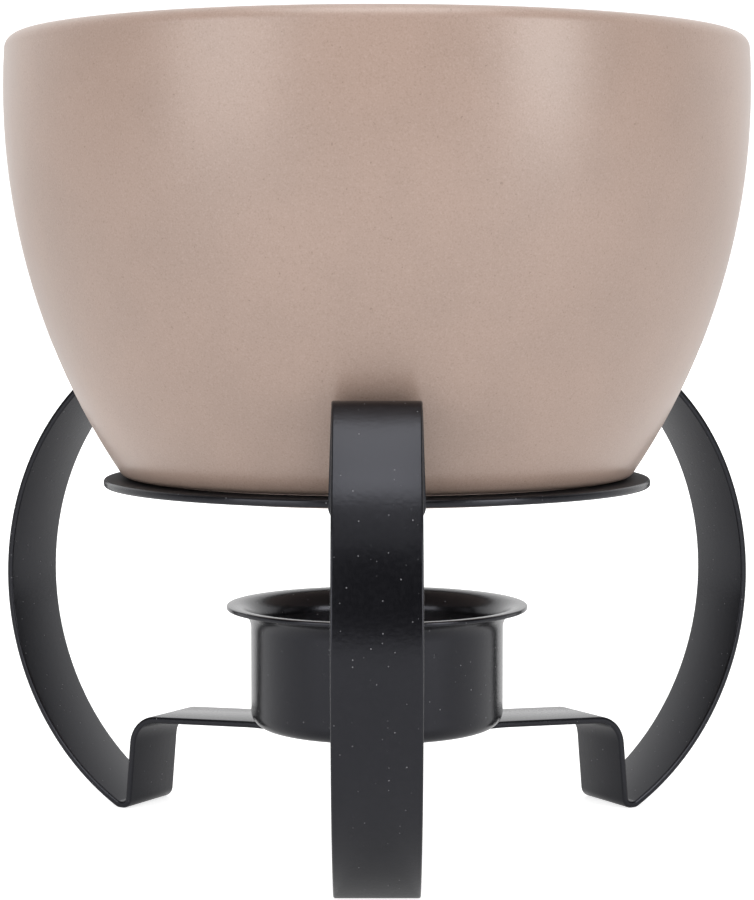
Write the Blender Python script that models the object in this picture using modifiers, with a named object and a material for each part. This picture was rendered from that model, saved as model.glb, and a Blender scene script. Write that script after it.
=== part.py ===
"""Fondue pot set: a stoneware bowl, the bent strip steel stand that carries it and a tealight burner.

The stand turns about one vertical axis. Three equal legs hold a flat ring, which the bowl sits in,
and carry a spun cup on their inner ends, which holds a tealight. All lengths are metres and +Z is up.
"""

import math

import bmesh
import bpy
from mathutils import Matrix, Vector

# ---- Driving dimensions -------------------------------------------------------------------------

FIT_GAP = 0.0003  # air between two pieces that touch or are welded together

# Bowl
BOWL_RADIUS = 0.065  # at its widest
BOWL_HEIGHT = 0.0765  # from the shoulder it rests on up to the rim
BOWL_WIDEST_BELOW_RIM = 0.0098
BOWL_SEAT_REACH = 0.0037  # from the ring's bore out to where the wall's curve would meet the shoulder
BOWL_SHOULDER_ROUND = 0.0022
BOWL_WALL = 0.0048
BOWL_FLOOR = 0.0062
BOWL_INNER_ROUND = 0.014
FOOT_RING_DEPTH = 0.0026  # how far the foot ring reaches below the shoulder
FOOT_RING_WIDTH = 0.0045
FOOT_RING_ROUND = 0.0009
FOOT_HOLLOW_DEPTH = 0.0014  # how far the underside is turned up inside the foot ring

# Support ring
RING_TOP_Z = 0.0634
RING_INNER_RADIUS = 0.0410
RING_WIDTH = 0.0072
RING_THICKNESS = 0.0014
RING_EDGE_ROUND = 0.0005
FOOT_RING_CLEARANCE = 0.0010  # radial play of the bowl's foot ring in the support ring

# Legs, each one a single bent strip: tab, apex, bow, sole, riser and arm
LEG_COUNT_ANGLE = math.radians(120)
STRIP_WIDTH = 0.0140
STRIP_THICKNESS = 0.0012
STRIP_EDGE_ROUND = 0.00025
TAB_SPREAD = 0.0018  # how much wider than the strip the tab's lower end is
TAB_BELOW_RING = 0.0021
TAB_UPRIGHT_ABOVE_RING = 0.0016
TAB_CORNER_ROUND = 0.0026
TAB_BEND = 0.0060
APEX_ABOVE_RING = 0.0163
APEX_BEND = 0.0034
APEX_CLEARANCE = 0.00136  # air between the bowl's wall and the apex bend
BOW_RISE = math.radians(49.3)  # how far above level the bow's arc ends, at the apex bend
BOW_FALL = math.radians(61.0)  # how far below level it ends, at the sole's bend
SOLE_BEND = 0.0014
SOLE_FLAT = 0.0006
RISER_LEAN = math.radians(5.3)
ARM_TOP_Z = 0.0187  # where the arm lies level, under the cup
ARM_FALL = math.radians(2.7)  # how far the arm slopes down from under the cup's wall to the riser
ARM_EASE = 0.03  # radius of the slight bend between the level and the sloping stretch
ARM_BEND = 0.0052

# Burner cup
TEALIGHT_PLAY = 0.0022  # radial play of the tealight's lip in the cup
CUP_FLANGE_WIDTH = 0.0043
CUP_HEIGHT = 0.0217
CUP_SHEET = 0.0008
CUP_LIP_ROUND = 0.0032
CUP_BOTTOM_ROUND = 0.0028
CUP_EDGE_ROUND = 0.0002

# Tealight
CASE_RADIUS = 0.0188
CASE_HEIGHT = 0.0138
CASE_SHEET = 0.0004
CASE_BOTTOM_ROUND = 0.0012
CASE_LIP_WIDTH = 0.0006
CASE_LIP_ROUND = 0.0004
WAX_BELOW_LIP = 0.0020
WICK_RADIUS = 0.0007
WICK_ABOVE_WAX = 0.0055
WICK_NOD = 0.0009  # how far the free end of the wick leans
SUSTAINER_RADIUS = 0.0062
SUSTAINER_SHEET = 0.0005
SUSTAINER_NECK_HEIGHT = 0.0034

# Weld beads under the ring
WELD_LENGTH = 0.0100
WELD_DEPTH = 0.0018
WELD_HEIGHT = 0.0012

# ---- Places that follow from the sizes above ----------------------------------------------------

RING_UNDERSIDE_Z = RING_TOP_Z - RING_THICKNESS
RING_OUTER_RADIUS = RING_INNER_RADIUS + RING_WIDTH
BOWL_SHOULDER_Z = RING_TOP_Z + FIT_GAP
BOWL_SHOULDER_RADIUS = RING_INNER_RADIUS + BOWL_SEAT_REACH
BOWL_RIM_Z = BOWL_SHOULDER_Z + BOWL_HEIGHT
TAB_INNER_FACE = RING_OUTER_RADIUS + FIT_GAP
TAB_WIDTH = STRIP_WIDTH + TAB_SPREAD
HALF_STRIP = STRIP_THICKNESS / 2
CUP_BODY_RADIUS = CASE_RADIUS + CASE_LIP_WIDTH + TEALIGHT_PLAY + CUP_SHEET
CUP_FLANGE_RADIUS = CUP_BODY_RADIUS + CUP_FLANGE_WIDTH
CUP_BOTTOM_Z = ARM_TOP_Z + FIT_GAP
CASE_BOTTOM_Z = CUP_BOTTOM_Z + CUP_SHEET + FIT_GAP

BOWL_STEPS = 72
RING_STEPS = 64
CUP_STEPS = 48
TEALIGHT_STEPS = 32


# ---- Scene, materials and small tools -----------------------------------------------------------


def clear_scene():
    for thing in list(bpy.data.objects):
        bpy.data.objects.remove(thing)


def new_material(name, colour, roughness, metallic=0.0):
    material = bpy.data.materials.new(name)
    material.use_nodes = True
    shader = material.node_tree.nodes["Principled BSDF"]
    shader.inputs["Base Color"].default_value = (*colour, 1.0)
    shader.inputs["Roughness"].default_value = roughness
    shader.inputs["Metallic"].default_value = metallic
    return material


def arc(centre, radius, start, end, step=math.radians(12)):
    """Points (r, z) on an arc round centre, from one angle to another, both ends included."""
    count = max(1, math.ceil(abs(end - start) / step))
    angles = [start + (end - start) * i / count for i in range(count + 1)]
    return [(centre[0] + radius * math.cos(a), centre[1] + radius * math.sin(a)) for a in angles]


def rounded(corners, closed=False, step=math.radians(22.5)):
    """An outline of (r, z, round) corners, with an arc of that radius in place of each sharp one."""
    points = []
    last = len(corners) - 1
    for i, (r, z, radius) in enumerate(corners):
        if radius == 0 or (not closed and i in (0, last)):
            points.append((r, z))
            continue
        here = Vector((r, z))
        before = (Vector(corners[i - 1][:2]) - here).normalized()
        after = (Vector(corners[(i + 1) % len(corners)][:2]) - here).normalized()
        half = before.angle(after) / 2
        centre = here + (before + after).normalized() * (radius / math.sin(half))
        start = here + before * (radius / math.tan(half)) - centre
        end = here + after * (radius / math.tan(half)) - centre
        first = math.atan2(start.y, start.x)
        turn = math.remainder(math.atan2(end.y, end.x) - first, math.tau)
        points += arc(centre, radius, first, first + turn, step)
    return points


def add_object(name, mesh, material, collection, parent):
    thing = bpy.data.objects.new(name, mesh)
    mesh.materials.append(material)
    thing.parent = parent
    collection.objects.link(thing)
    return thing


def turned(name, outline, closed, steps, material, collection, parent):
    """A solid of revolution about its own Z axis. The outline runs down the outer side."""
    mesh = bpy.data.meshes.new(name)
    edges = [(i, i + 1) for i in range(len(outline) - 1)]
    if closed:
        edges.append((len(outline) - 1, 0))
    mesh.from_pydata([(r, 0, z) for r, z in outline], edges, [])
    thing = add_object(name, mesh, material, collection, parent)
    screw = thing.modifiers.new("Turn", "SCREW")
    screw.axis = "Z"
    screw.angle = math.tau
    screw.steps = screw.render_steps = steps
    screw.use_merge_vertices = True
    screw.merge_threshold = 0.00001
    screw.use_smooth_shade = True
    return thing


def sheet_thickness(thing, thickness, offset, edge_round):
    """Gives an open surface its thickness and breaks its cut edges."""
    solid = thing.modifiers.new("Sheet", "SOLIDIFY")
    solid.thickness = thickness
    solid.offset = offset
    solid.use_even_offset = True
    bevel = thing.modifiers.new("Broken edges", "BEVEL")
    bevel.width = edge_round
    bevel.segments = 1
    bevel.limit_method = "ANGLE"
    bevel.angle_limit = math.radians(50)
    return thing


# ---- Bowl ---------------------------------------------------------------------------------------


def bowl_wall_circle():
    """Centre (r, z) and radius of the arc that the outer wall follows from shoulder to widest point."""
    widest_z = BOWL_RIM_Z - BOWL_WIDEST_BELOW_RIM
    rise = widest_z - BOWL_SHOULDER_Z
    inset = BOWL_RADIUS - BOWL_SHOULDER_RADIUS
    radius = (rise**2 + inset**2) / (2 * inset)
    return (BOWL_RADIUS - radius, widest_z), radius


def make_bowl(collection, parent):
    (centre_r, centre_z), radius = bowl_wall_circle()
    inner_radius = radius - BOWL_WALL
    lip_round = BOWL_WALL / 2
    lip_z = BOWL_RIM_Z - lip_round
    inside_z = BOWL_SHOULDER_Z + BOWL_FLOOR

    # The shoulder's round and the round inside are both tangent to a wall arc and to a level line.
    shoulder_z = BOWL_SHOULDER_Z + BOWL_SHOULDER_ROUND
    shoulder_r = centre_r + math.sqrt(
        (radius - BOWL_SHOULDER_ROUND) ** 2 - (shoulder_z - centre_z) ** 2
    )
    inner_z = inside_z + BOWL_INNER_ROUND
    inner_r = centre_r + math.sqrt(
        (inner_radius - BOWL_INNER_ROUND) ** 2 - (inner_z - centre_z) ** 2
    )
    outer_low = math.atan2(shoulder_z - centre_z, shoulder_r - centre_r)
    inner_low = math.atan2(inner_z - centre_z, inner_r - centre_r)
    lip_middle = radius - lip_round
    lip_angle = math.asin((lip_z - centre_z) / lip_middle)
    lip_centre = (
        centre_r + lip_middle * math.cos(lip_angle),
        centre_z + lip_middle * math.sin(lip_angle),
    )
    centre = (centre_r, centre_z)

    foot_outer = RING_INNER_RADIUS - FOOT_RING_CLEARANCE
    foot_inner = foot_outer - FOOT_RING_WIDTH
    foot_z = BOWL_SHOULDER_Z - FOOT_RING_DEPTH
    hollow_z = foot_z + FOOT_HOLLOW_DEPTH
    under = rounded(
        [
            (shoulder_r, BOWL_SHOULDER_Z, 0),
            (foot_outer, BOWL_SHOULDER_Z, FOOT_RING_ROUND / 2),
            (foot_outer, foot_z, FOOT_RING_ROUND),
            (foot_inner, foot_z, FOOT_RING_ROUND / 2),
            (foot_inner, hollow_z, FOOT_RING_ROUND / 2),
            (0, hollow_z, 0),
        ]
    )
    outline = [(0, inside_z)]
    outline += arc((inner_r, inner_z), BOWL_INNER_ROUND, -math.pi / 2, inner_low, math.radians(15))
    outline += arc(centre, inner_radius, inner_low, lip_angle, math.radians(4.5))[1:-1]
    outline += arc(lip_centre, lip_round, lip_angle + math.pi, lip_angle, math.radians(30))
    outline += arc(centre, radius, lip_angle, outer_low, math.radians(4))[1:]
    outline += arc((shoulder_r, shoulder_z), BOWL_SHOULDER_ROUND, outer_low, -math.pi / 2, math.radians(20))[1:-1]
    outline += under
    glaze = new_material("taupe_glaze", (0.42, 0.31, 0.25), 0.5)
    turned("bowl", outline, False, BOWL_STEPS, glaze, collection, parent)


# ---- Support ring -------------------------------------------------------------------------------


def make_support_ring(steel, collection, parent):
    outline = rounded(
        [
            (RING_INNER_RADIUS, RING_TOP_Z, RING_EDGE_ROUND),
            (RING_OUTER_RADIUS, RING_TOP_Z, RING_EDGE_ROUND),
            (RING_OUTER_RADIUS, RING_UNDERSIDE_Z, RING_EDGE_ROUND),
            (RING_INNER_RADIUS, RING_UNDERSIDE_Z, RING_EDGE_ROUND),
        ],
        closed=True,
        step=math.radians(30),
    )
    turned("support_ring", outline, True, RING_STEPS, steel, collection, parent)


# ---- Legs ---------------------------------------------------------------------------------------


def bow_circle():
    """Centre of the apex bend, centre of the sole's bend, and the circle of the bow round both."""
    apex_z = RING_TOP_Z + APEX_ABOVE_RING - HALF_STRIP - APEX_BEND
    (wall_r, wall_z), wall = bowl_wall_circle()
    apart = wall + APEX_CLEARANCE + HALF_STRIP + APEX_BEND
    apex_r = wall_r + math.sqrt(apart**2 - (apex_z - wall_z) ** 2)
    sole_z = HALF_STRIP + SOLE_BEND

    # The two bends lie inside the bow's circle and touch it, so their heights set its radius.
    reach = APEX_BEND * math.sin(BOW_RISE) + SOLE_BEND * math.sin(BOW_FALL)
    bow = (apex_z - sole_z + reach) / (math.sin(BOW_RISE) + math.sin(BOW_FALL))
    centre_r = apex_r - (bow - APEX_BEND) * math.cos(BOW_RISE)
    centre_z = apex_z - (bow - APEX_BEND) * math.sin(BOW_RISE)
    sole_r = centre_r + (bow - SOLE_BEND) * math.cos(BOW_FALL)
    return (apex_r, apex_z), (sole_r, sole_z), (centre_r, centre_z), bow


def leg_path():
    """The middle line (r, z) of a leg's strip, and how many of its points belong to the tab."""
    (apex_r, apex_z), (sole_r, sole_z), bow_centre, bow = bow_circle()

    # The tab stands upright on the ring's edge and then leans out to touch the apex bend.
    tab_r = TAB_INNER_FACE + HALF_STRIP
    tab_end = (tab_r, RING_UNDERSIDE_Z - TAB_BELOW_RING)
    tab_knee = (tab_r, RING_TOP_Z + TAB_UPRIGHT_ABOVE_RING)
    away = Vector((apex_r - tab_knee[0], apex_z - tab_knee[1]))
    lean = math.atan2(away.y, away.x) + math.asin(APEX_BEND / away.length)
    apex_start = arc((apex_r, apex_z), APEX_BEND, lean + math.pi / 2, BOW_RISE)
    tab = rounded([(*tab_end, 0), (*tab_knee, TAB_BEND), (*apex_start[0], 0)], step=math.radians(8))
    path = tab[:-1] + apex_start
    tab_points = len(path)
    path += arc(bow_centre, bow, BOW_RISE, -BOW_FALL, math.radians(4.5))[1:]
    path += arc((sole_r, sole_z), SOLE_BEND, -BOW_FALL, -math.pi / 2)[1:]
    riser_foot = (sole_r - SOLE_FLAT, sole_z)
    path += arc(riser_foot, SOLE_BEND, -math.pi / 2, RISER_LEAN - math.pi)

    # The riser and the sloping stretch of the arm meet in a wide bend.
    arm_z = ARM_TOP_Z - HALF_STRIP
    low_r, low_z = path[-1]
    slope, lean = math.tan(ARM_FALL), math.tan(RISER_LEAN)
    corner_r = (low_r - (arm_z + CUP_BODY_RADIUS * slope - low_z) * lean) / (1 - slope * lean)
    corner_z = arm_z - (corner_r - CUP_BODY_RADIUS) * slope
    arm = [
        (low_r, low_z, 0),
        (corner_r, corner_z, ARM_BEND),
        (CUP_BODY_RADIUS, arm_z, ARM_EASE),
        (arm_end_radius(), arm_z, 0),
    ]
    path += rounded(arm)[1:]
    return path, tab_points


def arm_end_radius():
    """Where square-cut arms of this width, set round the axis, come within a gap of each other."""
    return (STRIP_WIDTH / 2 + FIT_GAP / 2) / math.tan(LEG_COUNT_ANGLE / 2)


def strip_mesh():
    """An open ribbon along the leg's path, with r along X, and the tab's two lower corners rounded."""
    path, tab_points = leg_path()
    lengths = [0.0]
    for a, b in zip(path, path[1:]):
        lengths.append(lengths[-1] + math.dist(a, b))
    tab_length = lengths[tab_points - 1]
    mesh = bpy.data.meshes.new("leg")
    ribbon = bmesh.new()
    rows = []
    for (r, z), length in zip(path, lengths):
        spread = max(0.0, 1 - length / tab_length)
        half = (STRIP_WIDTH + (TAB_WIDTH - STRIP_WIDTH) * spread) / 2
        rows.append([ribbon.verts.new((r, side * half, z)) for side in (-1, 1)])
    for (a, b), (c, d) in zip(rows, rows[1:]):
        ribbon.faces.new((a, b, d, c))
    bmesh.ops.bevel(
        ribbon, geom=rows[0], offset=TAB_CORNER_ROUND, segments=4, affect="VERTICES", profile=0.5
    )
    bmesh.ops.recalc_face_normals(ribbon, faces=ribbon.faces)
    ribbon.to_mesh(mesh)
    ribbon.free()
    mesh.shade_smooth()
    return mesh


def make_legs(steel, collection, parent):
    front = -math.pi / 2
    places = {
        "leg_front": front,
        "leg_rear_left": front - LEG_COUNT_ANGLE,
        "leg_rear_right": front + LEG_COUNT_ANGLE,
    }
    mesh = strip_mesh()
    mesh.materials.append(steel)
    for name, angle in places.items():
        leg = bpy.data.objects.new(name, mesh)
        leg.parent = parent
        leg.rotation_euler.z = angle
        collection.objects.link(leg)
        sheet_thickness(leg, STRIP_THICKNESS, 0, STRIP_EDGE_ROUND)
        add_ring_weld(name.replace("leg", "ring_weld"), angle, steel, collection, parent)


def add_ring_weld(name, angle, steel, collection, parent):
    """A bead laid in the corner between a tab's inner face and the underside of the ring."""
    mesh = bpy.data.meshes.new(name)
    bead = bmesh.new()
    bmesh.ops.create_uvsphere(bead, u_segments=12, v_segments=8, radius=0.5)
    bmesh.ops.transform(
        bead,
        matrix=Matrix.Diagonal((WELD_DEPTH, WELD_LENGTH, WELD_HEIGHT, 1)),
        verts=bead.verts,
    )
    bead.to_mesh(mesh)
    bead.free()
    mesh.shade_smooth()
    weld = add_object(name, mesh, steel, collection, parent)
    weld_r = TAB_INNER_FACE - FIT_GAP - WELD_DEPTH / 2
    weld_z = RING_UNDERSIDE_Z - FIT_GAP - WELD_HEIGHT / 2
    weld.location = (weld_r * math.cos(angle), weld_r * math.sin(angle), weld_z)
    weld.rotation_euler.z = angle


# ---- Burner cup ---------------------------------------------------------------------------------


def make_burner_cup(steel, collection, parent):
    """The outline follows the underside of the flange, the outside of the wall and the underside."""
    flange_z = CUP_BOTTOM_Z + CUP_HEIGHT - CUP_SHEET
    outline = rounded(
        [
            (CUP_FLANGE_RADIUS, flange_z, 0),
            (CUP_BODY_RADIUS, flange_z, CUP_LIP_ROUND),
            (CUP_BODY_RADIUS, CUP_BOTTOM_Z, CUP_BOTTOM_ROUND),
            (0, CUP_BOTTOM_Z, 0),
        ],
        step=math.radians(15),
    )
    cup = turned("burner_cup", outline, False, CUP_STEPS, steel, collection, parent)
    sheet_thickness(cup, CUP_SHEET, -1, CUP_EDGE_ROUND)


# ---- Tealight -----------------------------------------------------------------------------------


def make_tealight(collection, parent):
    """A case, the wax in it, and the wick held upright by its sustainer. Its origin is the case's base."""
    lift = bpy.data.objects.new("tealight_base", None)
    lift.location.z = CASE_BOTTOM_Z
    lift.parent = parent
    collection.objects.link(lift)

    lip_z = CASE_HEIGHT - CASE_SHEET
    outline = rounded(
        [
            (CASE_RADIUS + CASE_LIP_WIDTH, lip_z, 0),
            (CASE_RADIUS, lip_z, CASE_LIP_ROUND),
            (CASE_RADIUS, 0, CASE_BOTTOM_ROUND),
            (0, 0, 0),
        ]
    )
    aluminium = new_material("aluminium_case", (0.78, 0.79, 0.80), 0.3, 1.0)
    case = turned("tealight_case", outline, False, TEALIGHT_STEPS, aluminium, collection, lift)
    sheet_thickness(case, CASE_SHEET, -1, CASE_SHEET / 5)

    disc_bottom = CASE_SHEET + FIT_GAP
    disc_top = disc_bottom + SUSTAINER_SHEET
    neck_top = disc_top + SUSTAINER_NECK_HEIGHT
    bore = WICK_RADIUS + FIT_GAP
    neck = bore + SUSTAINER_SHEET
    sustainer = [
        (bore, neck_top),
        (neck, neck_top),
        (neck, disc_top),
        (SUSTAINER_RADIUS, disc_top),
        (SUSTAINER_RADIUS, disc_bottom),
        (bore, disc_bottom),
    ]
    tin = new_material("tinned_steel", (0.62, 0.62, 0.62), 0.35, 1.0)
    turned("wick_sustainer", sustainer, True, TEALIGHT_STEPS, tin, collection, lift)

    wax_radius = CASE_RADIUS - CASE_SHEET - FIT_GAP
    wax_top = CASE_HEIGHT - WAX_BELOW_LIP
    wax = rounded(
        [
            (bore, wax_top, 0),
            (wax_radius, wax_top, 0),
            (wax_radius, disc_bottom, CASE_BOTTOM_ROUND),
            (SUSTAINER_RADIUS + FIT_GAP, disc_bottom, 0),
            (SUSTAINER_RADIUS + FIT_GAP, disc_top + FIT_GAP, 0),
            (neck + FIT_GAP, disc_top + FIT_GAP, 0),
            (neck + FIT_GAP, neck_top + FIT_GAP, 0),
            (bore, neck_top + FIT_GAP, 0),
        ],
        closed=True,
    )
    white = new_material("wax", (0.90, 0.88, 0.82), 0.45)
    turned("tealight_wax", wax, True, TEALIGHT_STEPS, white, collection, lift)

    wick_top = wax_top + WICK_ABOVE_WAX
    line = bpy.data.curves.new("tealight_wick", "CURVE")
    line.dimensions = "3D"
    line.bevel_depth = WICK_RADIUS
    line.bevel_resolution = 2
    line.use_fill_caps = True
    spline = line.splines.new("POLY")
    heights = [disc_bottom, wax_top] + [wax_top + WICK_ABOVE_WAX * i / 4 for i in range(1, 5)]
    spline.points.add(len(heights) - 1)
    for point, z in zip(spline.points, heights):
        rise = max(0.0, (z - wax_top) / (wick_top - wax_top))
        point.co = (0, WICK_NOD * rise**2, z, 1)
    wick = bpy.data.objects.new("tealight_wick", line)
    line.materials.append(new_material("cotton_wick", (0.82, 0.80, 0.74), 0.9))
    wick.parent = lift
    collection.objects.link(wick)


# ---- The set ------------------------------------------------------------------------------------


def main():
    clear_scene()
    collection = bpy.data.collections.new("fondue_pot_set")
    bpy.context.scene.collection.children.link(collection)
    # The set's axis stands back from the origin, which is the middle of the set's bounding box.
    _, _, (bow_centre_r, _), bow = bow_circle()
    front_reach = max(bow_centre_r + bow + HALF_STRIP, BOWL_RADIUS)
    axis = bpy.data.objects.new("set_axis", None)
    axis.location.y = (front_reach - BOWL_RADIUS) / 2
    collection.objects.link(axis)
    steel = new_material("black_steel", (0.035, 0.035, 0.038), 0.42)
    make_bowl(collection, axis)
    make_support_ring(steel, collection, axis)
    make_legs(steel, collection, axis)
    make_burner_cup(steel, collection, axis)
    make_tealight(collection, axis)


main()
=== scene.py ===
"""A small fondue set: a satin taupe bowl on a black steel stand, with a tealight in a spun cup."""

import math

import bmesh
import bpy
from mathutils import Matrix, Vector


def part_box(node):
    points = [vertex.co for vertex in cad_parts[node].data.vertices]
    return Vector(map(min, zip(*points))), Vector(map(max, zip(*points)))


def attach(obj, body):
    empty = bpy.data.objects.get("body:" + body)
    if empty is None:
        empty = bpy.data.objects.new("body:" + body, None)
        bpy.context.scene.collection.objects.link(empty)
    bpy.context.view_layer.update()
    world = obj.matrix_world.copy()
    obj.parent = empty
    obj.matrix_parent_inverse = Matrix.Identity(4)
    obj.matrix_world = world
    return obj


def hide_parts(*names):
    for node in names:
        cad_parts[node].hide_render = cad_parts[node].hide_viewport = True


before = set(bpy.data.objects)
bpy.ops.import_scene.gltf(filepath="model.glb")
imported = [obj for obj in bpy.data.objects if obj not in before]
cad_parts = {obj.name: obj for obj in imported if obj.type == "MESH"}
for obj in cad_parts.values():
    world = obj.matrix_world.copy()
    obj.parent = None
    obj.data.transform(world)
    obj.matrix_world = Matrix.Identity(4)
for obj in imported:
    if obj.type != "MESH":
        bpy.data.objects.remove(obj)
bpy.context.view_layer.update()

# ---- The table and the studio --------------------------------------------------------------------
# The set stands on a plain pale table with white all round. Two soft boxes light it from either side
# of the camera, a third hangs overhead, and a dim fourth softens the step between them. The camera
# looks at the set from the front, a little down.

SET_AXIS_Y = (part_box("bowl")[0][1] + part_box("bowl")[1][1]) / 2
CAMERA_DISTANCE = 0.46758
CAMERA_HEIGHT = 0.09984
CAMERA_DIP = math.radians(3.885)
CAMERA_LENS = 105.87
SENSOR_HEIGHT = 36
LIGHTS_AIM_Z = 0.08
TABLE_SIZE = 6

camera = bpy.data.objects.new("camera", bpy.data.cameras.new("camera"))
bpy.context.scene.collection.objects.link(camera)
camera.location = (0, SET_AXIS_Y - CAMERA_DISTANCE, CAMERA_HEIGHT)
camera.rotation_euler = (math.pi / 2 - CAMERA_DIP, 0, 0)
camera.data.sensor_fit = "VERTICAL"
camera.data.sensor_height = SENSOR_HEIGHT
camera.data.lens = CAMERA_LENS
camera.data.clip_start = 0.01
bpy.context.scene.camera = camera
bpy.context.scene.view_settings.view_transform = "Standard"


class Signal:
    """One output of a shader node, which Python's own + - * can work on."""

    def __init__(self, finish, socket):
        self.finish = finish
        self.socket = socket

    def maths(self, operation, first, second):
        return self.finish.node("ShaderNodeMath", {"operation": operation}, {0: first, 1: second})

    def __add__(self, other):
        return self.maths("ADD", self, other)

    def __sub__(self, other):
        return self.maths("SUBTRACT", self, other)

    def __rsub__(self, other):
        return self.maths("SUBTRACT", other, self)

    def __mul__(self, other):
        return self.maths("MULTIPLY", self, other)

    __radd__ = __add__
    __rmul__ = __mul__


class Finish:
    """A material, or a world given as owner, whose nodes are written as expressions on signals."""

    def __init__(self, name, owner=None, **fixed):
        self.material = owner or bpy.data.materials.new(name)
        self.material.use_nodes = True
        self.tree = self.material.node_tree
        self.shader = self.tree.nodes.get("Principled BSDF")
        for socket, value in fixed.items():
            self.shader.inputs[socket.replace("_", " ")].default_value = value

    def node(self, kind, settings, sockets, output=0):
        made = self.tree.nodes.new(kind)
        for name, value in settings.items():
            setattr(made, name, value)
        for name, value in sockets.items():
            if isinstance(value, Signal):
                self.tree.links.new(value.socket, made.inputs[name])
            else:
                made.inputs[name].default_value = value
        return Signal(self, made.outputs[output])

    def place(self):
        return self.node("ShaderNodeTexCoord", {}, {}, "Object")

    def along(self, place, axis):
        return self.node("ShaderNodeSeparateXYZ", {}, {0: place}, axis)

    def noise(self, size, detail=2.0, place=None):
        """Cloudy noise from 0 to 1, with features of about this size in metres."""
        sockets = {"Vector": place or self.place(), "Scale": 1 / size, "Detail": detail}
        return self.node("ShaderNodeTexNoise", {}, sockets)

    def rise(self, signal, low, high):
        """0 where the signal is below low, 1 where it is above high, and a soft step between."""
        settings = {"interpolation_type": "SMOOTHSTEP"}
        sockets = {"Value": signal, "From Min": low, "From Max": high}
        return self.node("ShaderNodeMapRange", settings, sockets)

    def mixed(self, share, first, second):
        """The first colour, turning into the second as share goes from 0 to 1."""
        first, second = [c if isinstance(c, Signal) else (*c, 1) for c in (first, second)]
        sockets = {0: share, 6: first, 7: second}
        return self.node("ShaderNodeMix", {"data_type": "RGBA"}, sockets, 2)

    def bump(self, height, depth):
        return self.node("ShaderNodeBump", {}, {"Height": height, "Distance": depth})

    def feed(self, **signals):
        for socket, signal in signals.items():
            self.tree.links.new(signal.socket, self.shader.inputs[socket.replace("_", " ")])
        return self.material


def add_soft_box(name, place, size, watts):
    lamp = bpy.data.lights.new(name, "AREA")
    lamp.shape = "RECTANGLE"
    lamp.size, lamp.size_y = size
    lamp.energy = watts
    box = bpy.data.objects.new(name, lamp)
    box.location = place
    aim = Vector((0, SET_AXIS_Y, LIGHTS_AIM_Z)) - box.location
    box.rotation_euler = aim.to_track_quat("-Z", "Y").to_euler()
    bpy.context.scene.collection.objects.link(box)


add_soft_box("soft_box_left", (-0.66, -0.68, 0.30), (0.58, 0.56), 3.8)
add_soft_box("soft_box_right", (0.72, -0.62, 0.30), (0.36, 0.56), 3.9)
add_soft_box("soft_box_over", (0.0, -0.27, 0.95), (0.60, 0.74), 5.6)
add_soft_box("soft_box_front", (0.0, -0.66, 0.74), (0.60, 0.50), 0.7)

WALL_GLOW = 1.18
CEILING_GLOW = 0.10
ROOM_GLOW = 0.04
BACKDROP_WHITE = 1.1

world = bpy.data.worlds.new("studio")
bpy.context.scene.world = world
studio = Finish("studio", world)
backdrop = studio.tree.nodes["Background"]
towards = studio.node("ShaderNodeTexCoord", {}, {}, "Generated")
behind, above = studio.along(towards, "Y"), studio.along(towards, "Z")
seen = studio.node("ShaderNodeLightPath", {}, {}, "Is Camera Ray")
wall_light = studio.rise(behind, -0.30, 0.75) * WALL_GLOW
ceiling_light = studio.rise(above, 0.10, 0.80) * CEILING_GLOW
glow = wall_light + ceiling_light + ROOM_GLOW
brightness = studio.node(
    "ShaderNodeMath", {"operation": "MAXIMUM"}, {0: glow, 1: seen * BACKDROP_WHITE}
)
backdrop.inputs["Color"].default_value = (1, 1, 1, 1)
studio.tree.links.new(brightness.socket, backdrop.inputs["Strength"])

bpy.ops.object.select_all(action="DESELECT")
bpy.ops.mesh.primitive_plane_add(size=TABLE_SIZE, location=(0, 0, 0))
table = bpy.context.object
table.name = "table_top"
paint = Finish("white_table", Roughness=0.6, Emission_Strength=1.0)
tone = paint.mixed(paint.noise(0.4), (0.62, 0.62, 0.62), (0.65, 0.65, 0.65))
away = paint.rise(paint.along(paint.place(), "Y"), 0.15, 0.9)
table_seen = paint.node("ShaderNodeLightPath", {}, {}, "Is Camera Ray")
shine = paint.mixed(away, (0.80, 0.80, 0.80), (1.15, 1.15, 1.15))
shine = paint.mixed(table_seen, (0.43, 0.43, 0.43), shine)
table.data.materials.append(paint.feed(Base_Color=tone, Emission_Color=shine))

# ---- Bowl ----------------------------------------------------------------------------------------
# A deep cast stoneware bowl with a rolled lip and a narrow shoulder over a foot ring. It is glazed
# inside and out in a satin taupe with a fine speckle, and the foot is wiped bare to the pale clay.

BOWL_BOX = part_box("bowl")
BOWL_RADIUS = (BOWL_BOX[1][0] - BOWL_BOX[0][0]) / 2
BOWL_RIM_Z = BOWL_BOX[1][2]
FOOT_Z = BOWL_BOX[0][2]
SHOULDER_Z = FOOT_Z + 0.0026
SHOULDER_RADIUS = 0.0447
SHOULDER_ROUND = 0.0022
WIDEST_BELOW_RIM = 0.0098
BOWL_WALL = 0.0048
BOWL_FLOOR = 0.0062
BOWL_INNER_ROUND = 0.014
FOOT_OUTER_RADIUS = 0.0400
FOOT_INNER_RADIUS = 0.0355
FOOT_ROUND = 0.0009
FOOT_HOLLOW = 0.0014
LATHE_STEPS = 192
MERGE_WITHIN = 0.000002
GRAIN_SIZE = 0.00028
SPECKLE_SIZE = 0.00060
CLOUD_SIZE = 0.016
RIPPLE_SIZE = 0.004
TAUPE_DEEP, TAUPE_LIGHT = (0.324, 0.236, 0.194), (0.347, 0.251, 0.206)
GRAIN_PALE, GRAIN_DARK = (0.450, 0.345, 0.295), (0.205, 0.140, 0.108)
SPECKLE_BROWN = (0.180, 0.120, 0.090)
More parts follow.
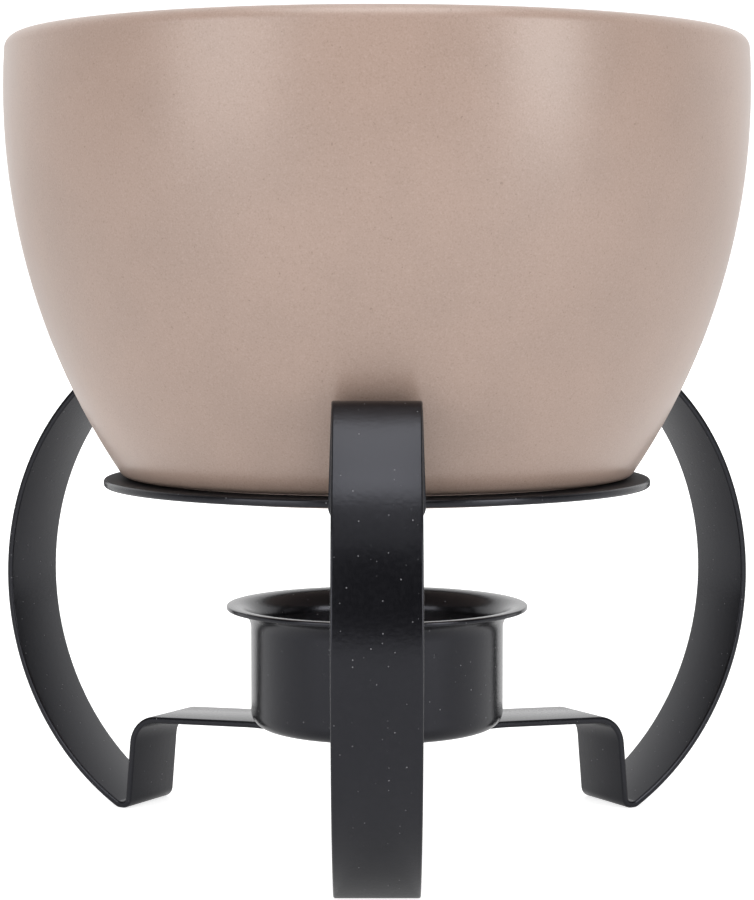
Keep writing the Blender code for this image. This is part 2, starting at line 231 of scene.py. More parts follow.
CLAY_DARK, CLAY_PALE = (0.48, 0.385, 0.34), (0.56, 0.46, 0.41)


def arc(centre, radius, start, end, step):
    """Points (r, z) on an arc round centre, both ends included, with angles in radians."""
    count = max(1, math.ceil(abs(end - start) / step))
    angles = [start + (end - start) * i / count for i in range(count + 1)]
    return [(centre[0] + radius * math.cos(a), centre[1] + radius * math.sin(a)) for a in angles]


def rounded(corners, closed=False, step=math.radians(11)):
    """An outline of (r, z, round) corners, with an arc of that radius in place of each sharp one."""
    points = []
    for i, (r, z, radius) in enumerate(corners):
        if radius == 0 or (not closed and i in (0, len(corners) - 1)):
            points.append((r, z))
            continue
        here = Vector((r, z))
        before = (Vector(corners[i - 1][:2]) - here).normalized()
        after = (Vector(corners[(i + 1) % len(corners)][:2]) - here).normalized()
        half = before.angle(after) / 2
        centre = here + (before + after).normalized() * (radius / math.sin(half))
        start = here + before * (radius / math.tan(half)) - centre
        end = here + after * (radius / math.tan(half)) - centre
        first = math.atan2(start.y, start.x)
        turn = math.remainder(math.atan2(end.y, end.x) - first, math.tau)
        points += arc(centre, radius, first, first + turn, step)
    return points


def draw_line(name, points):
    """Starts a new piece in edit mode as one open line through these points."""
    bpy.ops.object.select_all(action="DESELECT")
    bpy.ops.mesh.primitive_plane_add(size=0.001, location=points[0])
    bpy.context.object.name = name
    bpy.ops.object.mode_set(mode="EDIT")
    bpy.ops.mesh.merge(type="CENTER")
    for here, there in zip(points, points[1:]):
        move = Vector(there) - Vector(here)
        bpy.ops.mesh.extrude_region_move(TRANSFORM_OT_translate={"value": move})
    return bpy.context.object


def turn_on_lathe(name, outline, steps, closed=False):
    """Spins an outline of (r, z) points round the set's axis, and leaves the piece in edit mode."""
    line = outline + outline[:1] if closed else outline
    thing = draw_line(name, [(r, SET_AXIS_Y, z) for r, z in line])
    bpy.ops.mesh.select_all(action="SELECT")
    bpy.ops.mesh.spin(steps=steps, angle=math.tau, center=(0, SET_AXIS_Y, 0), axis=(0, 0, 1))
    bpy.ops.mesh.select_all(action="SELECT")
    bpy.ops.mesh.remove_doubles(threshold=MERGE_WITHIN)
    bpy.ops.mesh.normals_make_consistent(inside=False)
    return thing


def finish_piece(thing, material, body, node, smooth_to=35):
    """Ends edit mode, applies modifiers, smooths, paints and mounts a piece on its body."""
    if bpy.context.mode == "EDIT_MESH":
        bpy.ops.object.mode_set(mode="OBJECT")
    bpy.ops.object.select_all(action="DESELECT")
    thing.select_set(True)
    bpy.context.view_layer.objects.active = thing
    for modifier in list(thing.modifiers):
        bpy.ops.object.modifier_apply(modifier=modifier.name)
    bpy.ops.object.transform_apply(location=True, rotation=True, scale=True)
    bpy.ops.object.shade_smooth_by_angle(angle=math.radians(smooth_to))
    thing.data.materials.clear()
    thing.data.materials.append(material)
    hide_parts(node)
    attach(thing, body)


def bowl_outline():
    """From the middle of the floor inside, up over the lip, down the wall and under the foot."""
    widest_z = BOWL_RIM_Z - WIDEST_BELOW_RIM
    rise, inset = widest_z - SHOULDER_Z, BOWL_RADIUS - SHOULDER_RADIUS
    radius = (rise**2 + inset**2) / (2 * inset)
    inner_radius = radius - BOWL_WALL
    centre_r = BOWL_RADIUS - radius
    centre = (centre_r, widest_z)
    shoulder_z = SHOULDER_Z + SHOULDER_ROUND
    shoulder_r = centre_r + math.sqrt((radius - SHOULDER_ROUND) ** 2 - (shoulder_z - widest_z) ** 2)
    floor_z = SHOULDER_Z + BOWL_FLOOR
    inner_z = floor_z + BOWL_INNER_ROUND
    inner_r = centre_r + math.sqrt((inner_radius - BOWL_INNER_ROUND) ** 2 - (inner_z - widest_z) ** 2)
    outer_low = math.atan2(shoulder_z - widest_z, shoulder_r - centre_r)
    inner_low = math.atan2(inner_z - widest_z, inner_r - centre_r)
    lip_round = BOWL_WALL / 2
    middle = radius - lip_round
    lip_angle = math.asin((BOWL_RIM_Z - lip_round - widest_z) / middle)
    lip_centre = (centre_r + middle * math.cos(lip_angle), widest_z + middle * math.sin(lip_angle))
    fine = math.radians(1.6)
    floor = [(inner_r * share, floor_z) for share in (0, 0.3, 0.65)]
    outline = floor + arc((inner_r, inner_z), BOWL_INNER_ROUND, -math.pi / 2, inner_low, fine * 4)
    outline += arc(centre, inner_radius, inner_low, lip_angle, fine)[1:-1]
    outline += arc(lip_centre, lip_round, lip_angle + math.pi, lip_angle, fine * 8)
    outline += arc(centre, radius, lip_angle, outer_low, fine)[1:]
    outline += arc((shoulder_r, shoulder_z), SHOULDER_ROUND, outer_low, -math.pi / 2, fine * 8)[1:-1]
    return outline + rounded(
        [
            (shoulder_r, SHOULDER_Z, 0),
            (FOOT_OUTER_RADIUS, SHOULDER_Z, FOOT_ROUND / 2),
            (FOOT_OUTER_RADIUS, FOOT_Z, FOOT_ROUND),
            (FOOT_INNER_RADIUS, FOOT_Z, FOOT_ROUND / 2),
            (FOOT_INNER_RADIUS, FOOT_Z + FOOT_HOLLOW, FOOT_ROUND / 2),
            (0, FOOT_Z + FOOT_HOLLOW, 0),
        ]
    )


def make_glaze():
    """Satin taupe glaze, cloudy and finely speckled, that ends in a soft line above the bare foot."""
    glaze = Finish("taupe_glaze", Coat_Weight=0.15, Coat_Roughness=0.28, Specular_IOR_Level=0.5)
    grain = glaze.noise(GRAIN_SIZE, 2.0)
    dots = glaze.noise(SPECKLE_SIZE, 1.0)
    clouds = glaze.noise(CLOUD_SIZE, 3.0)
    height = glaze.along(glaze.place(), "Z") + (clouds - 0.5) * 0.0008
    taupe = glaze.mixed(glaze.rise(clouds, 0.3, 0.7), TAUPE_DEEP, TAUPE_LIGHT)
    taupe = glaze.mixed(glaze.rise(grain, 0.52, 0.74) * 0.32, taupe, GRAIN_PALE)
    taupe = glaze.mixed(glaze.rise(grain, 0.47, 0.28) * 0.34, taupe, GRAIN_DARK)
    taupe = glaze.mixed(glaze.rise(dots, 0.73, 0.78) * 0.5, taupe, SPECKLE_BROWN)
    clay = glaze.mixed(glaze.rise(grain, 0.4, 0.7), CLAY_DARK, CLAY_PALE)
    glazed = glaze.rise(height, SHOULDER_Z - 0.0004, SHOULDER_Z + 0.0001)
    skin = glaze.rise(clouds, 0.2, 0.8) * 0.05 + grain * 0.08 + 0.29
    dull = (1 - glazed) * 0.4
    bump = glaze.bump(grain * 0.6 + glaze.noise(RIPPLE_SIZE, 2.0) * 1.4, 0.00003)
    return glaze.feed(
        Base_Color=glaze.mixed(glazed, clay, taupe), Roughness=skin + dull, Normal=bump
    )


bowl = turn_on_lathe("fondue_bowl", bowl_outline(), LATHE_STEPS)
finish_piece(bowl, make_glaze(), "bowl", "bowl")

# ---- Support ring --------------------------------------------------------------------------------
# A flat steel ring cut from sheet, with its edges tumbled round. It is powder-coated black in one go
# with the legs and the burner cup, and rubbed dull on top, where the bowl's shoulder sits.

RING_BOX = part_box("support_ring")
RING_OUTER_RADIUS = (RING_BOX[1][0] - RING_BOX[0][0]) / 2
RING_UNDERSIDE_Z, RING_TOP_Z = RING_BOX[0][2], RING_BOX[1][2]
RING_WIDTH = 0.0072
RING_EDGE_ROUND = 0.0005
PEEL_SIZE = 0.0007
SHEEN_CLOUD_SIZE = 0.011
DUST_SPACING = 0.0009
COAT_DEEP, COAT_BLACK = (0.0030, 0.0030, 0.0038), (0.0052, 0.0052, 0.0064)
PEEL_BLACK = (0.0095, 0.0095, 0.0110)
DUST_GREY = (0.30, 0.30, 0.31)


def make_powder_coat(name, rubbed_above=None):
    """Black powder coat with orange peel and specks of dust, worn dull above a height if given."""
    coat = Finish(name, Specular_IOR_Level=0.34, Specular_Tint=(0.88, 0.89, 1.0, 1))
    peel = coat.noise(PEEL_SIZE, 2.0)
    cloud = coat.noise(SHEEN_CLOUD_SIZE, 3.0)
    cells = {"Vector": coat.place(), "Scale": 1 / DUST_SPACING}
    to_speck = coat.node("ShaderNodeTexVoronoi", {}, cells, "Distance")
    chance = coat.along(coat.node("ShaderNodeTexVoronoi", {}, cells, "Color"), "X")
    dust = coat.rise(to_speck, 0.17, 0.06) * coat.rise(chance, 0.70, 1.0)
    black = coat.mixed(cloud, COAT_DEEP, COAT_BLACK)
    black = coat.mixed(coat.rise(peel, 0.35, 0.8) * 0.5, black, PEEL_BLACK)
    black = coat.mixed(dust * 0.6, black, DUST_GREY)
    sheen = cloud * 0.04 + peel * 0.04 + dust * 0.3 + 0.18
    if rubbed_above is not None:
        height = coat.along(coat.place(), "Z")
        sheen += coat.rise(height, rubbed_above - 0.00012, rubbed_above - 0.00002) * 0.35
    bump = coat.bump(peel, 0.000015)
    return coat.feed(Base_Color=black, Roughness=sheen, Normal=bump)


ring = turn_on_lathe(
    "support_ring_coated",
    rounded(
        [
            (RING_OUTER_RADIUS - RING_WIDTH, RING_TOP_Z, RING_EDGE_ROUND),
            (RING_OUTER_RADIUS, RING_TOP_Z, RING_EDGE_ROUND),
            (RING_OUTER_RADIUS, RING_UNDERSIDE_Z, RING_EDGE_ROUND),
            (RING_OUTER_RADIUS - RING_WIDTH, RING_UNDERSIDE_Z, RING_EDGE_ROUND),
        ],
        closed=True,
    ),
    LATHE_STEPS,
    closed=True,
)
rubbed_coat = make_powder_coat("rubbed_powder_coat", RING_TOP_Z)
finish_piece(ring, rubbed_coat, "stand", "support_ring")

# ---- Legs ----------------------------------------------------------------------------------------
# Three legs, each bent from one flat strip: a tab that is welded to the ring, a tight curl over the
# top, a wide bow down to the sole, a riser, and an arm that runs in under the burner cup.

LEG_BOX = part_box("leg_front")
STRIP_WIDTH = 0.0140
STRIP_THICKNESS = 0.0012
STRIP_EDGE_ROUND = 0.00034
HALF_STRIP = STRIP_THICKNESS / 2
TAB_WIDTH = 0.0158
TAB_BELOW_RING = 0.0021
TAB_UPRIGHT_ABOVE_RING = 0.0016
TAB_CORNER_ROUND = 0.0026
TAB_BEND = 0.0060
APEX_BEND = 0.0034
BOW_RISE = math.radians(49.3)
BOW_FALL = math.radians(61.0)
SOLE_BEND = 0.0014
SOLE_FLAT = 0.0006
RISER_LEAN = math.radians(5.3)
ARM_TOP_Z = 0.0187
ARM_FALL = math.radians(2.7)
ARM_LEVEL_RADIUS = 0.0224
ARM_EASE = 0.03
ARM_BEND = 0.0052
ARM_END_RADIUS = 0.00413
TAB_CORNER_ABOVE = 0.0012
FIT_GAP = 0.0003
SAME_PLACE = 0.00002
SHARP_EDGE = math.radians(50)
THIRD_OF_A_TURN = math.radians(120)


def leg_line():
    """The strip's middle line (r, z) from the tab to the arm's end, and the tab's point count."""
    apex_z = LEG_BOX[1][2] - HALF_STRIP - APEX_BEND
    sole_z = HALF_STRIP + SOLE_BEND
    reach = APEX_BEND * math.sin(BOW_RISE) + SOLE_BEND * math.sin(BOW_FALL)
    bow = (apex_z - sole_z + reach) / (math.sin(BOW_RISE) + math.sin(BOW_FALL))
    centre_r = SET_AXIS_Y - LEG_BOX[0][1] - HALF_STRIP - bow
    centre_z = apex_z - (bow - APEX_BEND) * math.sin(BOW_RISE)
    apex_r = centre_r + (bow - APEX_BEND) * math.cos(BOW_RISE)
    sole_r = centre_r + (bow - SOLE_BEND) * math.cos(BOW_FALL)
    tab_r = RING_OUTER_RADIUS + FIT_GAP + HALF_STRIP
    knee_z = RING_TOP_Z + TAB_UPRIGHT_ABOVE_RING
    away = Vector((apex_r - tab_r, apex_z - knee_z))
    climb = math.atan2(away.y, away.x) + math.asin(APEX_BEND / away.length)
    fine = math.radians(5)
    curl = arc((apex_r, apex_z), APEX_BEND, climb + math.pi / 2, BOW_RISE, fine * 1.6)
    tab_low = (tab_r, RING_UNDERSIDE_Z - TAB_BELOW_RING, 0)
    tab = rounded([tab_low, (tab_r, knee_z, TAB_BEND), (*curl[0], 0)], step=fine / 2)
    line = [tab[0], (tab_r, RING_UNDERSIDE_Z + TAB_CORNER_ABOVE)] + tab[1:-1] + curl
    tab_points = len(line)
    line += arc((centre_r, centre_z), bow, BOW_RISE, -BOW_FALL, fine / 2.5)[1:]
    line += arc((sole_r, sole_z), SOLE_BEND, -BOW_FALL, -math.pi / 2, fine * 2)[1:]
    heel = (sole_r - SOLE_FLAT, sole_z)
    line += arc(heel, SOLE_BEND, -math.pi / 2, RISER_LEAN - math.pi, fine * 2)
    arm_z = ARM_TOP_Z - HALF_STRIP
    low_r, low_z = line[-1]
    slope, lean = math.tan(ARM_FALL), math.tan(RISER_LEAN)
    corner_r = (low_r - (arm_z + ARM_LEVEL_RADIUS * slope - low_z) * lean) / (1 - slope * lean)
    corner_z = arm_z - (corner_r - ARM_LEVEL_RADIUS) * slope
    corner = (corner_r, corner_z, ARM_BEND)
    level, end = (ARM_LEVEL_RADIUS, arm_z, ARM_EASE), (ARM_END_RADIUS, arm_z, 0)
    arm = rounded([(low_r, low_z, 0), corner, level, end], step=fine * 1.2)
    return line + arm[1:], tab_points


def pick(test):
    """Selects just the vertices of the piece in edit mode that pass the test."""
    edit = bmesh.from_edit_mesh(bpy.context.object.data)
    shift = bpy.context.object.matrix_world
    for vertex in edit.verts:
        vertex.select = False
    for vertex in edit.verts:
        vertex.select = test(shift @ vertex.co)
    edit.select_mode = {"VERT"}
    edit.select_flush_mode()
    bmesh.update_edit_mesh(bpy.context.object.data)


def thicken(thing, thickness, offset, edge_round):
    """Gives a sheet its thickness, and rounds the sharp edges that this makes."""
    solidify = thing.modifiers.new("thickness", "SOLIDIFY")
    solidify.thickness = thickness
    solidify.offset = offset
    solidify.use_even_offset = True
    bevel = thing.modifiers.new("edges", "BEVEL")
    bevel.width = edge_round
    bevel.segments = 3
    bevel.limit_method = "ANGLE"
    bevel.angle_limit = SHARP_EDGE


def bend_leg():
    """The front leg: a ribbon drawn along its line, widened at the tab, then given its thickness."""
    line, tab_points = leg_line()
    points = [(-STRIP_WIDTH / 2, SET_AXIS_Y - r, z) for r, z in line]
    leg = draw_line("leg_front_bent", points)
    bpy.ops.mesh.select_all(action="SELECT")
    bpy.ops.mesh.extrude_region_move(TRANSFORM_OT_translate={"value": (STRIP_WIDTH, 0, 0)})
    run = [0.0]
    for here, there in zip(line, line[1:tab_points]):
        run.append(run[-1] + math.dist(here, there))
    for (r, z), length in zip(line[: tab_points - 1], run):
        pick(lambda p: math.hypot(p.y - SET_AXIS_Y + r, p.z - z) < SAME_PLACE)
        wide = 1 + (TAB_WIDTH / STRIP_WIDTH - 1) * (1 - length / run[-1])
        bpy.ops.transform.resize(value=(wide, 1, 1), center_override=(0, 0, 0))
    pick(lambda p: math.hypot(p.y - points[0][1], p.z - points[0][2]) < SAME_PLACE)
    bpy.ops.mesh.bevel(offset=TAB_CORNER_ROUND, segments=8, affect="VERTICES")
    bpy.ops.mesh.select_all(action="SELECT")
    bpy.ops.mesh.normals_make_consistent(inside=False)
    thicken(leg, STRIP_THICKNESS, 0, STRIP_EDGE_ROUND)
    return leg


def copy_round(thing, name, turn):
    """A copy with its own mesh, turned round the set's axis."""
    bpy.ops.object.select_all(action="DESELECT")
    thing.select_set(True)
    bpy.context.view_layer.objects.active = thing
    bpy.ops.object.duplicate(linked=False)
    copy = bpy.context.object
    copy.name = name
    bpy.ops.transform.rotate(value=-turn, orient_axis="Z", center_override=(0, SET_AXIS_Y, 0))
    return copy


powder_coat = make_powder_coat("black_powder_coat")
leg = bend_leg()
bpy.ops.object.mode_set(mode="OBJECT")
for side, turn in (("left", -THIRD_OF_A_TURN), ("right", THIRD_OF_A_TURN)):
    node = "leg_rear_" + side
    copy = copy_round(leg, node + "_bent", turn)
    finish_piece(copy, powder_coat, "stand", node)
finish_piece(leg, powder_coat, "stand", "leg_front")

# ---- Weld beads ----------------------------------------------------------------------------------
# A short fillet weld joins each tab to the underside of the ring. The bead is laid from one end to
# the other, so it is ribbed across, and the powder coat covers it.

WELD_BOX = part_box("ring_weld_front")
WELD_LENGTH = WELD_BOX[1][0] - WELD_BOX[0][0]
WELD_RIBS = 26
WELD_PINCH = 0.90


def lay_bead():
    """The front bead: a long round blob, pinched at every other rib, grown to meet both pieces."""
    middle = [(low + high) / 2 for low, high in zip(*WELD_BOX)]
    depth, height = [WELD_BOX[1][i] - WELD_BOX[0][i] + 2 * FIT_GAP for i in (1, 2)]
    bpy.ops.object.select_all(action="DESELECT")
    bpy.ops.mesh.primitive_uv_sphere_add(
        segments=20, ring_count=WELD_RIBS, radius=0.5, location=middle, rotation=(0, math.pi / 2, 0)
    )
    bead = bpy.context.object
    bead.name = "ring_weld_front_bead"
    bpy.ops.object.transform_apply(location=True, rotation=True, scale=True)
    bpy.ops.object.mode_set(mode="EDIT")
    bpy.ops.mesh.select_all(action="SELECT")
    bpy.ops.transform.resize(value=(WELD_LENGTH, depth, height), center_override=middle)
    for rib in range(1, WELD_RIBS):
        x = middle[0] + WELD_LENGTH / 2 * math.cos(math.pi * rib / WELD_RIBS)
        squeeze = WELD_PINCH if rib % 2 else 1.0
        pick(lambda p: abs(p.x - x) < SAME_PLACE)
        bpy.ops.transform.resize(value=(1, squeeze, squeeze), center_override=middle)
    bpy.ops.object.mode_set(mode="OBJECT")
    return bead


bead = lay_bead()
for side, turn in (("left", -THIRD_OF_A_TURN), ("right", THIRD_OF_A_TURN)):
    node = "ring_weld_rear_" + side
    copy = copy_round(bead, node + "_bead", turn)
    finish_piece(copy, powder_coat, "stand", node, smooth_to=60)
finish_piece(bead, powder_coat, "stand", "ring_weld_front", smooth_to=60)

# ---- Burner cup ----------------------------------------------------------------------------------
# A cup spun from thin steel, with a flat floor, a straight wall and a wide flange turned out at the
# top. It is spot-welded on the ends of the three arms and coated with the rest of the stand.

CUP_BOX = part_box("burner_cup")
CUP_BOTTOM_Z, CUP_TOP_Z = CUP_BOX[0][2], CUP_BOX[1][2]
CUP_FLANGE_RADIUS = (CUP_BOX[1][0] - CUP_BOX[0][0]) / 2
CUP_BODY_RADIUS = 0.0224
CUP_SHEET = 0.0008
CUP_LIP_ROUND = 0.0032
CUP_BOTTOM_ROUND = 0.0028
CUP_EDGE_ROUND = 0.00025
CUP_STEPS = 144


def press_sheet(name, outer, sheet, edge_round, steps):
    """A thin turned shell: the outer outline is spun, and its sheet is added on the inside."""
    shell = turn_on_lathe(name, outer, steps)
    edit = bmesh.from_edit_mesh(shell.data)
    lowest = min(edit.faces, key=lambda face: (face.calc_center_median().z, face.normal.z))
    if lowest.normal.z > 0:
        bpy.ops.mesh.flip_normals()
    thicken(shell, sheet, -1, edge_round)
    return shell


cup = press_sheet(
    "burner_cup_spun",
    rounded(
        [
            (CUP_FLANGE_RADIUS, CUP_TOP_Z - CUP_SHEET, 0),
            (CUP_BODY_RADIUS, CUP_TOP_Z - CUP_SHEET, CUP_LIP_ROUND),
            (CUP_BODY_RADIUS, CUP_BOTTOM_Z, CUP_BOTTOM_ROUND),
            (0, CUP_BOTTOM_Z, 0),
        ],
        step=math.radians(7.5),
    ),
    CUP_SHEET,
    CUP_EDGE_ROUND,
    CUP_STEPS,
)
finish_piece(cup, powder_coat, "stand", "burner_cup")

# ---- Tealight case -------------------------------------------------------------------------------
# The tealight's case is pressed from bright aluminium foil, with a fluted wall that stiffens it and a
# narrow lip turned out at the top. It stands loose on the floor of the cup.

CASE_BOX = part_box("tealight_case")
CASE_BOTTOM_Z, CASE_TOP_Z = CASE_BOX[0][2], CASE_BOX[1][2]
CASE_LIP_RADIUS = (CASE_BOX[1][0] - CASE_BOX[0][0]) / 2
CASE_LIP_WIDTH = 0.0006
CASE_LIP_ROUND = 0.0004
CASE_RADIUS = CASE_LIP_RADIUS - CASE_LIP_WIDTH
CASE_SHEET = 0.0004
CASE_EDGE_ROUND = 0.00008
CASE_BOTTOM_ROUND = 0.0012
CASE_FLUTES = 48
CASE_COLUMNS = CASE_FLUTES * 4
FLUTE_DEPTH = 0.00012
FLUTES_LOW_Z, FLUTES_HIGH_Z = CASE_BOTTOM_Z + 0.0030, CASE_BOTTOM_Z + 0.0105
FLUTE_MARGIN = 0.001
FOIL_DARK, FOIL_BRIGHT = (0.70, 0.71, 0.72), (0.86, 0.87, 0.88)


def make_foil():
    """Bright pressed aluminium, with faint rolling lines and a cloudy polish."""
    foil = Finish("pressed_aluminium", Metallic=1.0)
    drawn_out = {"Vector": foil.place(), "Scale": (0.05, 1.0, 0.05)}
    lines = foil.noise(0.00015, 2.0, foil.node("ShaderNodeMapping", {}, drawn_out))
    cloud = foil.noise(0.005, 3.0)
    tone = foil.mixed(lines * 0.5 + cloud * 0.5, FOIL_DARK, FOIL_BRIGHT)
    return foil.feed(
        Base_Color=tone,
        Roughness=cloud * 0.15 + lines * 0.10 + 0.18,
        Normal=foil.bump(lines + cloud * 2, 0.00002),
    )


case = press_sheet(
    "tealight_case_fluted",
    rounded(
        [
            (CASE_LIP_RADIUS, CASE_TOP_Z - CASE_SHEET, 0),
            (CASE_RADIUS, CASE_TOP_Z - CASE_SHEET, CASE_LIP_ROUND),
            (CASE_RADIUS, FLUTES_HIGH_Z, 0),
            (CASE_RADIUS, FLUTES_LOW_Z, 0),
            (CASE_RADIUS, CASE_BOTTOM_Z, CASE_BOTTOM_ROUND),
            (0, CASE_BOTTOM_Z, 0),
        ],
        step=math.radians(15),
    ),
    CASE_SHEET,
    CASE_EDGE_ROUND,
    CASE_COLUMNS,
)


def in_flute(p):
    """True on the wall, on two columns of vertices in every four."""
    column = round(math.atan2(p.y - SET_AXIS_Y, p.x) / math.tau * CASE_COLUMNS)
    on_wall = FLUTES_LOW_Z - FLUTE_MARGIN < p.z < FLUTES_HIGH_Z + FLUTE_MARGIN
    return on_wall and column % 4 in (1, 2)


pick(in_flute)
pressed_in = 1 - FLUTE_DEPTH / CASE_RADIUS
bpy.ops.transform.resize(value=(pressed_in, pressed_in, 1), center_override=(0, SET_AXIS_Y, 0))
finish_piece(case, make_foil(), "tealight", "tealight_case")

# ---- Wick sustainer ------------------------------------------------------------------------------
# A little tinned steel disc lies under the wax, with a neck pressed up in its middle that grips the
# wick and keeps it upright.

SUSTAINER_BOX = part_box("wick_sustainer")
SUSTAINER_BOTTOM_Z, SUSTAINER_TOP_Z = SUSTAINER_BOX[0][2], SUSTAINER_BOX[1][2]
SUSTAINER_RADIUS = (SUSTAINER_BOX[1][0] - SUSTAINER_BOX[0][0]) / 2
SUSTAINER_SHEET = 0.0005
SUSTAINER_STEPS = 48
NECK_SEAM_BELOW_TOP = 0.0010
NECK_TOP_ROUND = 0.00020
NECK_FOOT_ROUND = 0.00035
TIN_EDGE_ROUND = 0.00015
WICK_BORE = 0.0010
TIN_DARK, TIN_PALE = (0.52, 0.52, 0.52), (0.68, 0.68, 0.67)


def make_tin():
    """Tinned steel, dull and slightly mottled, with fine press marks."""
    tin = Finish("tinned_steel", Metallic=1.0)
    mottle = tin.noise(0.0016, 3.0)
    tone = tin.mixed(mottle, TIN_DARK, TIN_PALE)
    return tin.feed(
        Base_Color=tone, Roughness=mottle * 0.2 + 0.28, Normal=tin.bump(mottle, 0.00001)
    )


disc_top = SUSTAINER_BOTTOM_Z + SUSTAINER_SHEET
neck_radius = WICK_BORE + SUSTAINER_SHEET
sustainer = turn_on_lathe(
    "wick_sustainer_pressed",
    rounded(
        [
            (WICK_BORE, SUSTAINER_TOP_Z - NECK_SEAM_BELOW_TOP, 0),
            (WICK_BORE, SUSTAINER_TOP_Z, TIN_EDGE_ROUND),
            (neck_radius, SUSTAINER_TOP_Z, NECK_TOP_ROUND),
            (neck_radius, disc_top, NECK_FOOT_ROUND),
            (SUSTAINER_RADIUS, disc_top, TIN_EDGE_ROUND),
            (SUSTAINER_RADIUS, SUSTAINER_BOTTOM_Z, TIN_EDGE_ROUND),
            (WICK_BORE, SUSTAINER_BOTTOM_Z, TIN_EDGE_ROUND),
            (WICK_BORE, SUSTAINER_TOP_Z - NECK_SEAM_BELOW_TOP, 0),
        ],
        step=math.radians(22.5),
    ),
    SUSTAINER_STEPS,
)
finish_piece(sustainer, make_tin(), "tealight", "wick_sustainer")

# ---- Wax -----------------------------------------------------------------------------------------
# White paraffin wax is poured into the case round the wick. It has sunk a little as it set, so its
# top dips between the wick and the wall, and its skin is faintly dimpled.

WAX_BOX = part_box("tealight_wax")
WAX_BOTTOM_Z, WAX_TOP_Z = WAX_BOX[0][2], WAX_BOX[1][2]
WAX_RADIUS = (WAX_BOX[1][0] - WAX_BOX[0][0]) / 2
WAX_SINK = 0.0005
WAX_RINGS = 14
WAX_EDGE_DEPTH = 0.001
WAX_STEPS = 96
WAX_IVORY, WAX_WHITE = (0.84, 0.82, 0.75), (0.92, 0.91, 0.87)


def make_wax():
    """Paraffin wax: translucent white, with a satin skin that is cloudy and softly dimpled."""
    wax = Finish("paraffin_wax", Subsurface_Weight=0.35, Subsurface_Scale=0.002)
    wax.shader.inputs["Subsurface Radius"].default_value = (1.0, 0.8, 0.6)
    cloud = wax.noise(0.004, 3.0)
    dimples = wax.noise(0.0009, 2.0)
    tone = wax.mixed(cloud, WAX_IVORY, WAX_WHITE)
    return wax.feed(
        Base_Color=tone,
        Roughness=cloud * 0.15 + dimples * 0.08 + 0.30,
        Normal=wax.bump(dimples + cloud * 2, 0.00006),
    )


wax_top = []
for ring_number in range(WAX_RINGS + 1):
    share = ring_number / WAX_RINGS
    dip = math.sin(math.pi * share**0.7) ** 0.8
    wax_top.append((WICK_BORE + (WAX_RADIUS - WICK_BORE) * share, WAX_TOP_Z - WAX_SINK * dip))
under_disc = disc_top + FIT_GAP
neck_hole = neck_radius + FIT_GAP
neck_roof = SUSTAINER_TOP_Z + FIT_GAP
wax = turn_on_lathe(
    "tealight_wax_poured",
    wax_top
    + rounded(
        [
            (WAX_RADIUS, WAX_TOP_Z - WAX_EDGE_DEPTH, 0),
            (WAX_RADIUS, WAX_BOTTOM_Z, CASE_BOTTOM_ROUND),
            (SUSTAINER_RADIUS + FIT_GAP, WAX_BOTTOM_Z, 0),
        ]
    )
    + [
        (SUSTAINER_RADIUS + FIT_GAP, under_disc),
        (neck_hole, under_disc),
        (neck_hole, neck_roof),
        (WICK_BORE, neck_roof),
        wax_top[0],
    ],
    WAX_STEPS,
)
finish_piece(wax, make_wax(), "tealight", "tealight_wax")

# ---- Wick ----------------------------------------------------------------------------------------
# The wick is three cotton strands twisted together and stiffened with wax. It stands up from the
# sustainer's neck and nods over a little at its free end.

WICK_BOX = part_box("tealight_wick")
WICK_BOTTOM_Z, WICK_TOP_Z = WICK_BOX[0][2], WICK_BOX[1][2]
WICK_RADIUS = (WICK_BOX[1][0] - WICK_BOX[0][0]) / 2
WICK_NOD = WICK_BOX[1][1] - SET_AXIS_Y - WICK_RADIUS
WICK_STEPS = 60
WICK_TWIST = math.radians(14)
WICK_SIDES = 24
STRAND_SIDES = WICK_SIDES // 3
VALLEY_PINCH, SLOPE_PINCH = 0.66, 0.84
COTTON_DARK, COTTON_PALE = (0.66, 0.63, 0.55), (0.90, 0.88, 0.83)


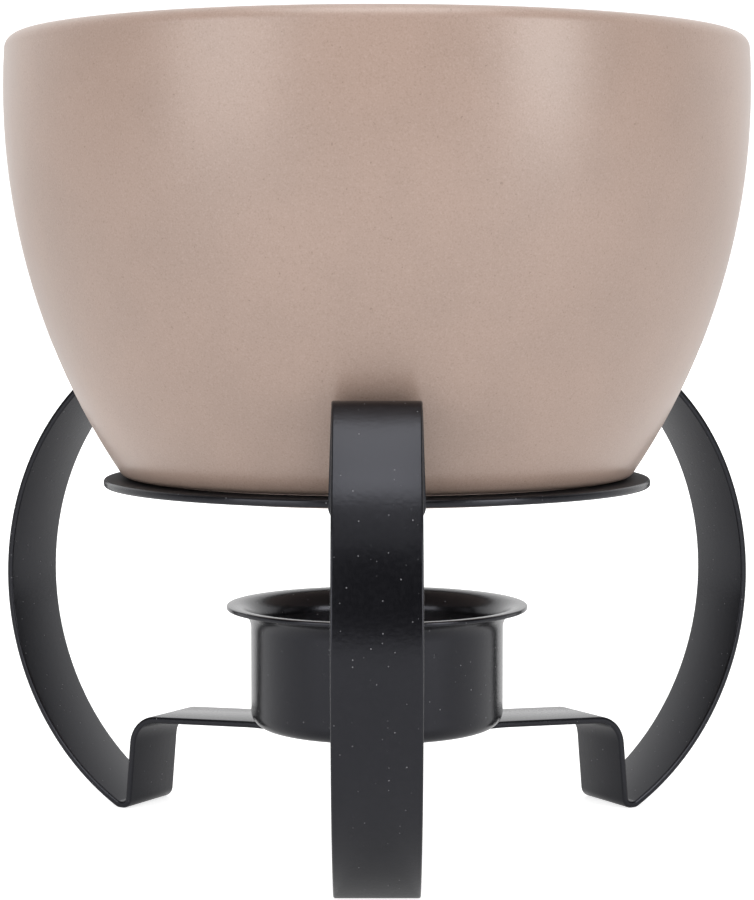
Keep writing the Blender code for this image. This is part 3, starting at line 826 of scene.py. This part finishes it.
def make_cotton():
    """Waxed cotton, off-white with darker and lighter fibres."""
    cotton = Finish("waxed_cotton")
    fibres = cotton.noise(0.00018, 3.0)
    tone = cotton.mixed(fibres, COTTON_DARK, COTTON_PALE)
    return cotton.feed(
        Base_Color=tone, Roughness=fibres * 0.2 + 0.65, Normal=cotton.bump(fibres, 0.00006)
    )


def strand_side(p):
    """Which of a strand's sides a vertex of the ring is on, or None at the ring's middle."""
    if math.hypot(p.x, p.y - SET_AXIS_Y) < WICK_RADIUS / 2:
        return None
    return round(math.atan2(p.y - SET_AXIS_Y, p.x) / math.tau * WICK_SIDES) % STRAND_SIDES


def twist_wick():
    """A three-lobed ring of vertices, extruded upwards and turned a little at every step."""
    bpy.ops.object.select_all(action="DESELECT")
    bpy.ops.mesh.primitive_circle_add(
        vertices=WICK_SIDES,
        radius=WICK_RADIUS,
        location=(0, SET_AXIS_Y, WICK_BOTTOM_Z),
        fill_type="TRIFAN",
    )
    wick = bpy.context.object
    wick.name = "tealight_wick_twisted"
    bpy.ops.object.mode_set(mode="EDIT")
    for side, pinch in ((0, VALLEY_PINCH), (1, SLOPE_PINCH), (STRAND_SIDES - 1, SLOPE_PINCH)):
        pick(lambda p: strand_side(p) == side)
        bpy.ops.transform.resize(value=(pinch, pinch, 1), center_override=(0, SET_AXIS_Y, 0))
    bpy.ops.mesh.select_all(action="SELECT")
    rise = (WICK_TOP_Z - WICK_BOTTOM_Z) / WICK_STEPS
    free_from = WAX_TOP_Z - WICK_BOTTOM_Z
    lean = 0.0
    for step in range(1, WICK_STEPS + 1):
        free = max(0.0, (step * rise - free_from) / (WICK_TOP_Z - WAX_TOP_Z))
        shift = WICK_NOD * free**2 - lean
        lean += shift
        bpy.ops.mesh.extrude_region_move(TRANSFORM_OT_translate={"value": (0, shift, rise)})
        here = (0, SET_AXIS_Y + lean, WICK_BOTTOM_Z + step * rise)
        bpy.ops.transform.rotate(value=WICK_TWIST, orient_axis="Z", center_override=here)
    bpy.ops.mesh.select_all(action="SELECT")
    bpy.ops.mesh.normals_make_consistent(inside=False)
    return wick


wick = twist_wick()
finish_piece(wick, make_cotton(), "tealight", "tealight_wick", smooth_to=50)
